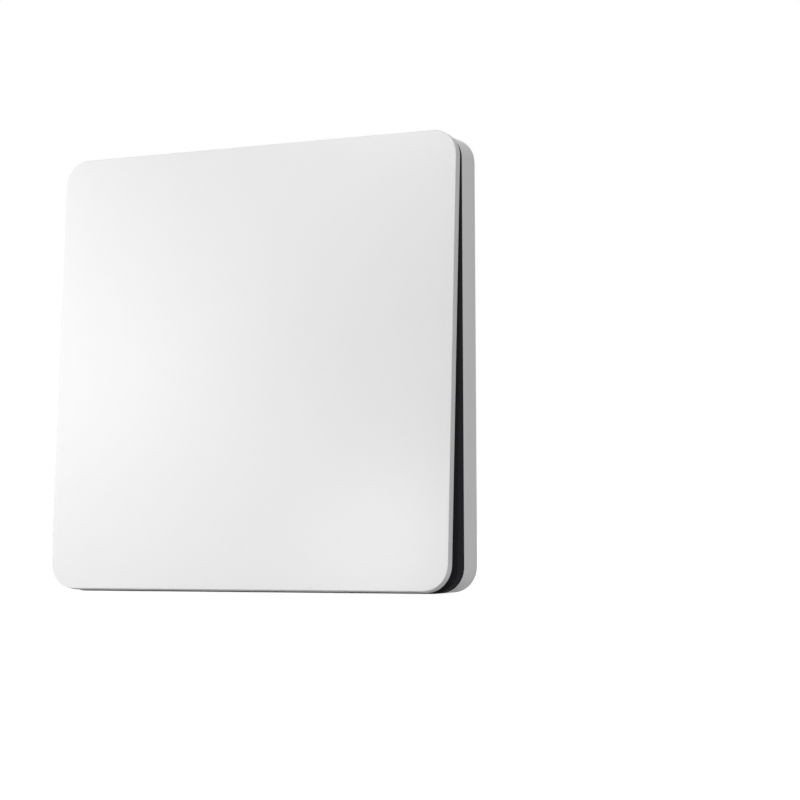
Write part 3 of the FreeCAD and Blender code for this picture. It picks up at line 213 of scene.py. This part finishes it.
# Cold-rolled spring steel: brighter, with rolling lines
spring_steel = metal("spring_steel", "#C3C4C6", "#B3B4B7", 0.3, 0.25, (0.1, 1.0, 1.0))
# Ground steel: bright, with fine rings
pin_steel = metal("ground_steel", "#CBCCCE", "#BEBFC2", 0.25, 0.2, (8.0, 1.0, 1.0))
# Zinc-plated steel: pale and faintly blue
screw_zinc = metal("zinc_plate", "#D3D6DC", "#C3C7CF", 0.3, 0.3, (1.0, 1.0, 1.0))
# Tin solder: pale and softly bright, as it froze
solder_tin = metal("tin_solder", "#CDCED1", "#B9BABE", 0.3, 0.6, (1.0, 1.0, 1.0))
# Crystal can: satin nickel silver
crystal_can = metal("satin_nickel_silver", "#CFCFD0", "#C2C2C4", 0.35, 0.2, (0.2, 1.0, 1.0))

FINISHES = {
    "white_panel_plastic": panel_abs,
    "white_base_plastic": base_abs,
    "black_frame_plastic": frame_abs,
    "bumper_rubber": bumper_rubber,
    "grey_tray_plastic": tray_nylon,
    "carrier_plastic": carrier_acetal,
    "bobbin_plastic": bobbin_polyester,
    "copper_winding": winding_copper,
    "core_iron": core_steel,
    "magnet_nickel": magnet_nickel,
    "spring_steel": spring_steel,
    "pin_steel": pin_steel,
    "zinc_screw_steel": screw_zinc,
    "board_laminate": board_mask,
    "chip_epoxy": chip_epoxy,
    "crystal_can": crystal_can,
    "capacitor_ceramic": capacitor_ceramic,
    "aerial_insulation": aerial_vinyl,
}

# Each CAD node takes the finish of its own slot
for subpart in frame["record"]["subparts"]:
    node = NODES[subpart["node"]]
    node.data.materials.clear()
    node.data.materials.append(FINISHES[subpart["material_slot"]])


# Sizes of the pieces, in mm
SCREW_SIDES = 12
SCREWS = {
    # node: head radius, head height, shank radius, thread pitch, corners of the node's box with a screw
    "frame_screws": (1.9, 1.1, 1.0, 0.7, ((-1, -1), (-1, 1), (1, -1), (1, 1))),
    "tray_screws": (1.4, 0.8, 0.7, 0.5, ((-1, -1), (1, -1))),
    "core_screws": (1.4, 0.8, 0.7, 0.5, ((-1, -1), (1, -1))),
    "board_screws": (1.4, 0.8, 0.7, 0.5, ((-1, -1), (1, 1))),
}
THREAD_CORE = 0.78
# Shares of a screw's head: the span, width and depth of its recess, and how far that tapers
RECESS_SPAN, RECESS_WIDTH, RECESS_DEPTH, RECESS_TAPER = 1.1, 0.3, 1.2, 0.55
# Shares of a pin: the bevel of its end by its radius, and of its dome by the head's height
END_BEVEL, DOME_BEVEL = 0.25, 0.7
PIN_SIDES, WIRE_SIDES, SPRING_SIDES = 32, 16, 12
THREAD_STEPS, SPRING_STEPS, BEND_STEPS = 20, 32, 10
RIVET_HEAD_RADIUS, RIVET_HEAD_HEIGHT, RIVET_RADIUS, RIVET_LENGTH = 0.9, 0.35, 0.5, 3.7
RIVET_PLACE = (3.5, -2.1, -13.9)
SPRING_RADIUS, SPRING_WIRE, SPRING_PITCH, SPRING_TURNS, SPRING_LEG = 1.15, 0.2, 0.5, 2, 5.5
# The CAD wires have six sides, so their boxes show this share of the radius across the flats
HEX_FLAT = math.cos(math.radians(30))
AERIAL_RADIUS, AERIAL_BEND, AERIAL_START = 0.5, 4.0, -12.0
LEAD_RADIUS, LEAD_BEND = 0.25, 0.8
SOLDER_RADIUS, SOLDER_HEIGHT = 0.75, 0.5
# A drop narrows to this share above this share of its radius
SOLDER_NECK, SOLDER_FOOT = 0.75, 0.3
WINDING_CORNER, WINDING_BUILD, WIRE_RIDGE = 1.2, 1.2, 0.4
# The panel's tilt in degrees, its corner radius, its edge's depth, its draft, and how near a point counts
PANEL_TILT, PANEL_CORNER, PANEL_EDGE, PANEL_DRAFT, PANEL_NEAR = 3.55, 4.9, 1.8, 0.2, 0.05

LEVER = JOINTS["lever_swing"]
LEVER_LEAN = math.radians(LEVER["range_deg"][1] / 2)
FACING_ROOM = Matrix.Rotation(math.radians(90), 4, "X")


def pick(kind, test):
    """Selects only the vertices, edges or faces of the mesh in edit mode that pass a test."""
    bpy.ops.mesh.select_mode(type=kind)
    bpy.ops.mesh.select_all(action="DESELECT")
    mesh = bmesh.from_edit_mesh(bpy.context.edit_object.data)
    for element in {"VERT": mesh.verts, "EDGE": mesh.edges, "FACE": mesh.faces}[kind]:
        element.select_set(test(element))
    mesh.select_flush_mode()
    bmesh.update_edit_mesh(bpy.context.edit_object.data)


def extrude(shift):
    """Extrudes what is selected by a shift."""
    bpy.ops.mesh.extrude_region_move(TRANSFORM_OT_translate={"value": shift})


def close_shell():
    """Closes the open ends of a tube, merges its seams and turns its faces outwards."""
    bpy.ops.mesh.select_all(action="SELECT")
    bpy.ops.mesh.remove_doubles(threshold=MERGE)
    bpy.ops.mesh.fill_holes(sides=0)
    bpy.ops.mesh.select_all(action="SELECT")
    bpy.ops.mesh.normals_make_consistent(inside=False)


def start_piece(name):
    """Names the primitive that was just added, puts its place into its mesh and opens it for editing."""
    piece = bpy.context.object
    piece.name = name
    bpy.ops.object.transform_apply(location=True, rotation=True, scale=True)
    bpy.ops.object.mode_set(mode="EDIT")
    return piece


def apply_modifier(piece, kind, settings):
    """Adds a modifier with these settings to the active piece and applies it."""
    modifier = piece.modifiers.new(kind.lower(), kind)
    for name, value in settings.items():
        setattr(modifier, name, value)
    bpy.ops.object.modifier_apply(modifier=modifier.name)


def coil_up(piece, turns, rise, steps):
    """Winds the piece's outline round the Z axis."""
    apply_modifier(piece, "SCREW", {"axis": "Z", "angle": turns * 2 * math.pi, "screw_offset": rise,
                                    "iterations": 1, "steps": steps, "render_steps": steps})


def place_copy(model, name, place):
    """Copies a model with its own mesh and puts the copy's place into that mesh."""
    bpy.ops.object.select_all(action="DESELECT")
    copy = model.copy()
    copy.data = model.data.copy()
    copy.name = name
    bpy.context.scene.collection.objects.link(copy)
    bpy.context.view_layer.objects.active = copy
    copy.select_set(True)
    copy.matrix_world = place
    bpy.ops.object.transform_apply(location=True, rotation=True, scale=True)
    bpy.ops.object.mode_set(mode="EDIT")
    bpy.ops.mesh.select_all(action="SELECT")
    bpy.ops.mesh.normals_make_consistent(inside=False)
    bpy.ops.object.mode_set(mode="OBJECT")
    return copy


def dress(piece, slot, *nodes):
    """Gives a piece the finish of a slot, and hides the nodes that it stands for."""
    bpy.ops.object.select_all(action="DESELECT")
    bpy.context.view_layer.objects.active = piece
    piece.select_set(True)
    bpy.ops.object.shade_smooth_by_angle(angle=SMOOTH_ANGLE)
    piece.data.materials.clear()
    piece.data.materials.append(FINISHES[slot])
    if nodes:
        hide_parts(*nodes)


def cut_recess(piece, head_radius, head_height):
    """Cuts a tapered cross for the driver into a screw's head."""
    span, width, depth = head_radius * RECESS_SPAN, head_radius * RECESS_WIDTH, head_height * RECESS_DEPTH
    for turn in (0, 90):
        bpy.ops.object.select_all(action="DESELECT")
        bpy.ops.mesh.primitive_cube_add(size=1, location=(0, 0, head_height * MM),
                                        rotation=(0, 0, math.radians(turn)),
                                        scale=(span * MM, width * MM, depth * MM))
        cutter = start_piece("recess_cutter")
        pick("FACE", lambda face: face.normal.z < -0.9)
        bpy.ops.transform.resize(value=(RECESS_TAPER, RECESS_TAPER, 1))
        bpy.ops.object.mode_set(mode="OBJECT")
        bpy.ops.object.select_all(action="DESELECT")
        bpy.context.view_layer.objects.active = piece
        apply_modifier(piece, "BOOLEAN", {"operation": "DIFFERENCE", "object": cutter})
        bpy.data.objects.remove(cutter)


def model_pin(name, head_radius, head_height, radius, length):
    """A round head, domed towards +Z, on a shank with a bevelled end."""
    bpy.ops.object.select_all(action="DESELECT")
    bpy.ops.mesh.primitive_cylinder_add(vertices=PIN_SIDES, radius=head_radius * MM,
                                        depth=head_height * MM, location=(0, 0, head_height * MM / 2))
    piece = start_piece(name)
    pick("FACE", lambda face: face.normal.z < -0.9)
    bpy.ops.mesh.inset(thickness=(head_radius - radius) * MM)
    extrude((0, 0, -length * MM))
    bpy.ops.mesh.bevel(offset=radius * END_BEVEL * MM, segments=2, affect="EDGES")
    pick("EDGE", lambda edge: all(vertex.co.z > head_height * 0.99 * MM for vertex in edge.verts))
    bpy.ops.mesh.bevel(offset=head_height * DOME_BEVEL * MM, segments=5, affect="EDGES")
    bpy.ops.object.mode_set(mode="OBJECT")
    return piece


def model_screw(name, head_radius, head_height, radius, length, pitch):
    """A pan-head screw with a cross recess and a rolled thread."""
    core = radius * THREAD_CORE
    piece = model_pin(name, head_radius, head_height, core, length)
    cut_recess(piece, head_radius, head_height)
    ridge = (radius - core) / math.cos(math.radians(60)) / 2
    bpy.ops.object.select_all(action="DESELECT")
    bpy.ops.mesh.primitive_circle_add(vertices=3, radius=ridge * MM,
                                      rotation=(math.radians(90), math.radians(90), 0),
                                      location=((radius - ridge) * MM, 0, (pitch / 2 - length) * MM))
    thread = start_piece("thread")
    bpy.ops.object.mode_set(mode="OBJECT")
    turns = math.floor((length - pitch) / pitch)
    coil_up(thread, turns, turns * pitch * MM, turns * THREAD_STEPS)
    bpy.ops.object.mode_set(mode="EDIT")
    close_shell()
    bpy.ops.object.mode_set(mode="OBJECT")
    piece.select_set(True)
    bpy.context.view_layer.objects.active = piece
    bpy.ops.object.join()
    return piece


def make_screws():
    """The driven screws of the frame, the tray, the core and the board, each group from one model."""
    for node, (head_radius, head_height, radius, pitch, corners) in SCREWS.items():
        low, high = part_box(node)
        reach = head_radius * math.cos(math.pi / SCREW_SIDES) * MM
        seat = low[1] + head_height * MM
        model = model_screw("screw_model", head_radius, head_height, radius, (high[1] - seat) / MM, pitch)
        for number, (side, level) in enumerate(corners, 1):
            across = low[0] + reach if side < 0 else high[0] - reach
            up = low[2] + reach if level < 0 else high[2] - reach
            piece = place_copy(model, f"driven_{node[:-1]}_{number}",
                               Matrix.Translation((across, seat, up)) @ FACING_ROOM)
            dress(piece, "zinc_screw_steel", node)
            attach(piece, "base")
        bpy.data.objects.remove(model)


def make_rivets():
    """The two domed rivets that hold the leaf to the lever."""
    model = model_pin("rivet_model", RIVET_HEAD_RADIUS, RIVET_HEAD_HEIGHT, RIVET_RADIUS, RIVET_LENGTH)
    lever_place = Matrix.Translation(LEVER["pos_m"]) @ Matrix.Rotation(-LEVER_LEAN, 4, "X")
    for number, side in enumerate((-1, 1), 1):
        seat = Vector((side * RIVET_PLACE[0], RIVET_PLACE[1], RIVET_PLACE[2])) * MM
        piece = place_copy(model, f"domed_rivet_{number}",
                           lever_place @ Matrix.Translation(seat) @ FACING_ROOM)
        dress(piece, "pin_steel", "leaf_rivets")
        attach(piece, "generator_lever")
    bpy.data.objects.remove(model)


def make_springs():
    """The two torsion springs of round wire, which wind up between the lever and the tray."""
    turns = SPRING_TURNS + LEVER_LEAN / (2 * math.pi)
    rise = SPRING_PITCH * turns * MM
    run = Vector((0, 2 * math.pi * SPRING_RADIUS, SPRING_PITCH)).normalized()
    bpy.ops.object.select_all(action="DESELECT")
    bpy.ops.mesh.primitive_circle_add(vertices=SPRING_SIDES, radius=SPRING_WIRE * MM,
                                      rotation=(math.radians(90), 0, 0),
                                      location=(SPRING_RADIUS * MM, 0, 0))
    model = start_piece("spring_model")
    bpy.ops.object.mode_set(mode="OBJECT")
    coil_up(model, turns, rise, SPRING_TURNS * SPRING_STEPS)
    bpy.ops.object.mode_set(mode="EDIT")
    close_shell()
    for end, way in ((0.0, -1), (rise, 1)):
        pick("FACE", lambda face: len(face.verts) > 4
             and abs(face.calc_center_median().z - end) < SPRING_WIRE * MM / 4)
        extrude(Matrix.Rotation(LEVER_LEAN if way > 0 else 0, 3, "Z") @ run * SPRING_LEG * MM * way)
    bpy.ops.object.mode_set(mode="OBJECT")
    round_pin = Matrix(((0, 0, 1, 0), (1, 0, 0, 0), (0, 1, 0, 0), (0, 0, 0, 1)))
    for name, side in (("left", -1), ("right", 1)):
        low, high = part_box(f"return_spring_{name}")
        arm_end = (low[0] + high[0]) / 2 - side * rise / 2
        pin_place = Matrix.Translation((arm_end, LEVER["pos_m"][1], LEVER["pos_m"][2]))
        handed = Matrix.Diagonal((side, 1, 1, 1))
        piece = place_copy(model, f"wound_spring_{name}",
                           pin_place @ handed @ round_pin @ Matrix.Rotation(-LEVER_LEAN, 4, "Z"))
        dress(piece, "spring_steel", f"return_spring_{name}")
        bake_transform(piece)
    bpy.data.objects.remove(model)


def model_wire(name, radius, route, bend):
    """A round wire along a line of points in mm, with its corners spun to a bend."""
    points = [Vector(point) * MM for point in route]
    first = (points[1] - points[0]).normalized()
    bpy.ops.object.select_all(action="DESELECT")
    bpy.ops.mesh.primitive_circle_add(vertices=WIRE_SIDES, radius=radius * MM, location=points[0],
                                      rotation=first.to_track_quat("Z", "Y").to_euler())
    piece = start_piece(name)
    pick("EDGE", lambda edge: True)
    here = points[0]
    for before, corner, after in zip(points, points[1:], points[2:]):
        inward, outward = (corner - before).normalized(), (after - corner).normalized()
        extrude(corner - inward * bend * MM - here)
        here = corner + outward * bend * MM
        bpy.ops.mesh.spin(steps=BEND_STEPS, angle=math.radians(90), axis=outward.cross(inward),
                          center=corner + (outward - inward) * bend * MM)
    extrude(points[-1] - here)
    close_shell()
    bpy.ops.object.mode_set(mode="OBJECT")
    return piece


def make_wires():
    """The aerial round the base's walls, and the coil's two leads bent down to the board."""
    low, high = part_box("aerial_wire")
    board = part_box("circuit_board")
    side = low[0] / MM + AERIAL_RADIUS * HEX_FLAT
    depth = (low[1] + high[1]) / 2 / MM
    top = high[2] / MM - AERIAL_RADIUS * HEX_FLAT
    route = [(AERIAL_START, depth, top), (side, depth, top), (side, depth, side),
             (high[0] / MM, depth, side)]
    aerial = model_wire("vinyl_aerial", AERIAL_RADIUS, route, AERIAL_BEND)
    dress(aerial, "aerial_insulation", "aerial_wire")
    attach(aerial, "base")

    low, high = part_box("coil_leads")
    across = high[0] / MM - LEAD_RADIUS * HEX_FLAT
    front, board_front = low[1] / MM + LEAD_RADIUS, board[0][1] / MM
    end = high[2] / MM - LEAD_RADIUS
    model = model_wire("lead_model", LEAD_RADIUS,
                       [(0, front, low[2] / MM), (0, front, end), (0, board_front, end)], LEAD_BEND)
    for name, place in (("left", -across), ("right", across)):
        lead = place_copy(model, f"enamelled_lead_{name}", Matrix.Translation((place * MM, 0, 0)))
        dress(lead, "copper_winding", "coil_leads")
        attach(lead, "base")
    bpy.data.objects.remove(model)
    make_solder([(-across, board_front, end), (across, board_front, end), (AERIAL_START, board_front, top)])


def make_solder(places):
    """Drops of solder where the leads and the aerial join the board."""
    bpy.ops.object.select_all(action="DESELECT")
    bpy.ops.mesh.primitive_uv_sphere_add(segments=24, ring_count=12, radius=SOLDER_RADIUS * MM)
    model = start_piece("solder_model")
    bpy.ops.mesh.select_all(action="SELECT")
    bpy.ops.mesh.bisect(plane_co=(0, 0, 0), plane_no=(0, 0, 1), use_fill=True, clear_inner=True)
    pick("VERT", lambda vertex: vertex.co.z > SOLDER_RADIUS * SOLDER_FOOT * MM)
    bpy.ops.transform.resize(value=(SOLDER_NECK, SOLDER_NECK, 1))
    bpy.ops.mesh.select_all(action="SELECT")
    bpy.ops.transform.resize(value=(1, 1, SOLDER_HEIGHT / SOLDER_RADIUS), center_override=(0, 0, 0))
    bpy.ops.object.mode_set(mode="OBJECT")
    for number, place in enumerate(places, 1):
        drop = place_copy(model, f"solder_drop_{number}",
                          Matrix.Translation(Vector(place) * MM) @ FACING_ROOM)
        dress(drop, "crystal_can")
        drop.data.materials[0] = solder_tin
        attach(drop, "base")
    bpy.data.objects.remove(model)


def make_winding():
    """The coil's copper, with a ridge for each visible layer of wire."""
    low, high = (Vector(corner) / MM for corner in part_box("coil_winding"))
    middle, size = (low + high) / 2, high - low
    ridges = round(size.z / WIRE_RIDGE)
    ridge = size.z / ridges
    hole = ((size.x - 2 * WINDING_BUILD) / size.x, (size.y - 2 * WINDING_BUILD) / size.y, 1)
    bpy.ops.object.select_all(action="DESELECT")
    bpy.ops.mesh.primitive_cube_add(size=MM, location=Vector((middle.x, middle.y, low.z + ridge / 2)) * MM,
                                    scale=(size.x, size.y, ridge))
    piece = start_piece("wound_copper")
    pick("EDGE", lambda edge: abs(edge.verts[0].co.z - edge.verts[1].co.z) > ridge * MM / 2)
    bpy.ops.mesh.bevel(offset=WINDING_CORNER * MM, segments=6, affect="EDGES")
    pick("FACE", lambda face: abs(face.normal.z) > 0.9)
    bpy.ops.mesh.delete(type="FACE")
    bpy.ops.mesh.select_all(action="SELECT")
    bpy.ops.mesh.bisect(plane_co=Vector((0, 0, low.z + ridge / 2)) * MM, plane_no=(0, 0, 1))
    pick("VERT", lambda vertex: abs(vertex.co.z - (low.z + ridge / 2) * MM) > ridge * MM / 4)
    bpy.ops.transform.resize(value=((size.x - ridge / 2) / size.x, (size.y - ridge / 2) / size.y, 1),
                             center_override=Vector((middle.x, middle.y, low.z + ridge / 2)) * MM)
    bpy.ops.object.mode_set(mode="OBJECT")
    apply_modifier(piece, "ARRAY", {"count": ridges, "use_relative_offset": False,
                                    "use_constant_offset": True, "use_merge_vertices": True,
                                    "constant_offset_displace": (0, 0, ridge * MM),
                                    "merge_threshold": MERGE})
    bpy.ops.object.mode_set(mode="EDIT")
    for end in (low.z, high.z):
        pick("EDGE", lambda edge: edge.is_boundary and abs(edge.verts[0].co.z - end * MM) < ridge * MM / 4)
        extrude((0, 0, 0))
        bpy.ops.transform.resize(value=hole, center_override=Vector((middle.x, middle.y, end)) * MM)
    pick("EDGE", lambda edge: edge.is_boundary)
    bpy.ops.mesh.bridge_edge_loops()
    bpy.ops.mesh.select_all(action="SELECT")
    bpy.ops.mesh.normals_make_consistent(inside=False)
    bpy.ops.object.mode_set(mode="OBJECT")
    dress(piece, "copper_winding", "coil_winding")
    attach(piece, "base")


def make_panel():
    """The panel as it leaves the mould: its lower rim drafted a little outwards towards the back."""
    hinge = Vector(JOINTS["rocker_press"]["pos_m"])
    upright = Matrix.Rotation(math.radians(PANEL_TILT), 4, "X") @ Matrix.Translation(-hinge)
    piece = place_copy(NODES["rocker_panel"], "drafted_panel", Matrix.Identity(4))
    bpy.ops.object.mode_set(mode="EDIT")
    bpy.ops.mesh.select_all(action="SELECT")
    bpy.ops.mesh.remove_doubles(threshold=MERGE)
    bpy.ops.mesh.normals_make_consistent(inside=False)
    bpy.ops.object.mode_set(mode="OBJECT")
    bpy.ops.mesh.customdata_custom_splitnormals_clear()
    flat = [upright @ vertex.co for vertex in piece.data.vertices]
    half, bottom = max(point.x for point in flat), min(point.z for point in flat)
    front = min(point.y for point in flat)
    side, turn = half - PANEL_CORNER * MM, bottom + PANEL_CORNER * MM

    def on_lower_rim(vertex):
        """Tells whether a point lies on the rear edge of the outer wall, below the start of the corners."""
        point = upright @ vertex.co
        reach = math.hypot(max(abs(point.x) - side, 0), max(turn - point.z, 0))
        behind = abs(point.y - front - PANEL_EDGE * MM) < PANEL_NEAR * MM
        return behind and point.z < turn and reach > (PANEL_CORNER - PANEL_NEAR) * MM

    bpy.ops.object.mode_set(mode="EDIT")
    pick("VERT", on_lower_rim)
    line = upright.inverted() @ Vector((0, front + PANEL_EDGE * MM, turn))
    bpy.ops.transform.resize(value=(1, 1, 1 + PANEL_DRAFT / PANEL_CORNER), center_override=line)
    bpy.ops.object.mode_set(mode="OBJECT")
    dress(piece, "white_panel_plastic", "rocker_panel")
    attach(piece, "rocker")


make_panel()
make_screws()
make_rivets()
make_springs()
make_wires()
make_winding()


def larger(tree, first, second):
    """Returns the larger of two values."""
    return add_node(tree, "ShaderNodeMath", {"operation": "MAXIMUM"},
                    {0: first, 1: second}).outputs["Value"]


def make_floor():
    """A plain floor: white to the camera where it is lit, greyer in the object's shadow."""
    # Paper sweep: a pale grey that throws little light back, lifted to white for the camera
    material, tree, shader, place = start_material("white_paper_sweep", {"Roughness": 0.9})
    colour_drift(tree, shader, noise(tree, place, FLOOR_CLOUD_MM, 2.0), "#A8A8A8", "#A4A4A4")
    rays = add_node(tree, "ShaderNodeLightPath").outputs
    seen = larger(tree, rays["Is Camera Ray"], rays["Is Glossy Ray"])
    lift = add_node(tree, "ShaderNodeMath", {"operation": "MULTIPLY", 1: FLOOR_LIFT}, {0: seen})
    shader.inputs["Emission Color"].default_value = (1.0, 1.0, 1.0, 1.0)
    tree.links.new(lift.outputs["Value"], shader.inputs["Emission Strength"])
    bpy.ops.object.select_all(action="DESELECT")
    bpy.ops.mesh.primitive_plane_add(size=FLOOR_SIZE, location=(0, 0, cad_box[0][2] - FLOOR_GAP))
    floor = bpy.context.object
    floor.name = "floor"
    floor.data.materials.append(material)


def make_world():
    """A white surround to the camera and in reflections, and a weak even light on the object."""
    world = bpy.data.worlds.new("white_surround")
    world.use_nodes = True
    tree = world.node_tree
    rays = add_node(tree, "ShaderNodeLightPath").outputs
    seen = larger(tree, rays["Is Camera Ray"], rays["Is Glossy Ray"])
    shown = larger(tree, seen, rays["Is Transmission Ray"])
    strength = add_node(tree, "ShaderNodeMapRange", {"To Min": WORLD_LIGHT, "To Max": 1.0},
                        {"Value": shown})
    background = tree.nodes["Background"]
    background.inputs["Color"].default_value = (1.0, 1.0, 1.0, 1.0)
    tree.links.new(strength.outputs["Result"], background.inputs["Strength"])
    bpy.context.scene.world = world


# Lamps: name, place and aim in mm, side of the square panel in mm, power in watts
SWITCH_MIDDLE = (0, -8, 0)
LAMPS = [
    ("camera_fill", (215, -390, 40), SWITCH_MIDDLE, 120, 0.6),
    ("left_key", (-200, -140, 98), SWITCH_MIDDLE, 120, 0.19),
    ("left_fill", (-88, -120, 15), SWITCH_MIDDLE, 45, 0.045),
    ("top_corner", (32, -40, 76), (40, -9, 40), 30, 0.0055),
    ("low_corner", (29, -40, -32), (40, -13, -43), 20, 0.0012),
    ("low_fill", (-60, -130, -33), (-20, -12, -43), 16, 0.017),
    ("back_fill", (-40, 380, 120), SWITCH_MIDDLE, 60, 0.7),
]


def make_lamp(name, place, aim, side, power):
    """A soft square lamp, out of the camera's sight."""
    data = bpy.data.lights.new(name, "AREA")
    data.size = side * MM
    data.energy = power
    lamp = bpy.data.objects.new(name, data)
    bpy.context.scene.collection.objects.link(lamp)
    lamp.location = Vector(place) * MM
    lamp.rotation_euler = (Vector(aim) - Vector(place)).to_track_quat("-Z", "Y").to_euler()
    lamp.visible_camera = False


def make_camera():
    """The camera at the photograph's viewing angle."""
    data = bpy.data.cameras.new("camera")
    data.sensor_width = SENSOR_MM
    data.lens = LENS_MM
    data.clip_start = CLIP_MM * MM
    camera = bpy.data.objects.new("camera", data)
    bpy.context.scene.collection.objects.link(camera)
    turn = (Matrix.Rotation(math.radians(CAMERA_YAW), 4, "Z")
            @ Matrix.Rotation(math.radians(CAMERA_PITCH), 4, "X")
            @ Matrix.Rotation(math.radians(CAMERA_ROLL), 4, "Y")
            @ Matrix.Rotation(math.radians(90), 4, "X"))
    camera.matrix_world = Matrix.Translation(CAMERA_PLACE) @ turn
    bpy.context.scene.camera = camera


make_floor()
make_world()
for lamp in LAMPS:
    make_lamp(*lamp)
make_camera()
bpy.context.scene.view_settings.view_transform = "Standard"
